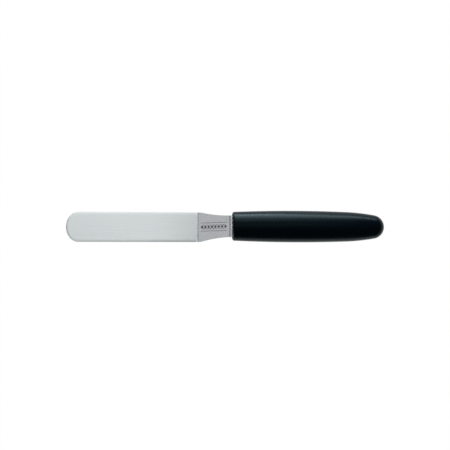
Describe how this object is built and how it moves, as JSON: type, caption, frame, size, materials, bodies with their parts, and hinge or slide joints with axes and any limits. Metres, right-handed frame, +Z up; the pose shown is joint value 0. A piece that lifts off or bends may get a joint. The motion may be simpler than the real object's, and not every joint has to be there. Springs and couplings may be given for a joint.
{
  "type": "offset spatula",
  "caption": "Small offset icing spatula: a flat steel blade with a round tip, a sloped neck and an oval moulded plastic handle.",
  "frame": {"origin": "the centre of the object's box, on the surface that the tool lies on: it lies as it comes to rest, on its heel bend and on the underside of the handle's butt", "axes": "+X along the tool from the blade's tip to the handle's butt, +Z up from the surface, +Y across the blade"},
  "size_m": [0.2106, 0.0208, 0.0219],
  "materials": {
    "blade": "fine lengthwise brushing",
    "handle_core": "as moulded",
    "handle_shell": "satin"
  },
  "bodies": {
    "root": {"blade": "blade", "handle_core": "handle_core", "handle_shell": "handle_shell"}
  },
  "joints": []
}
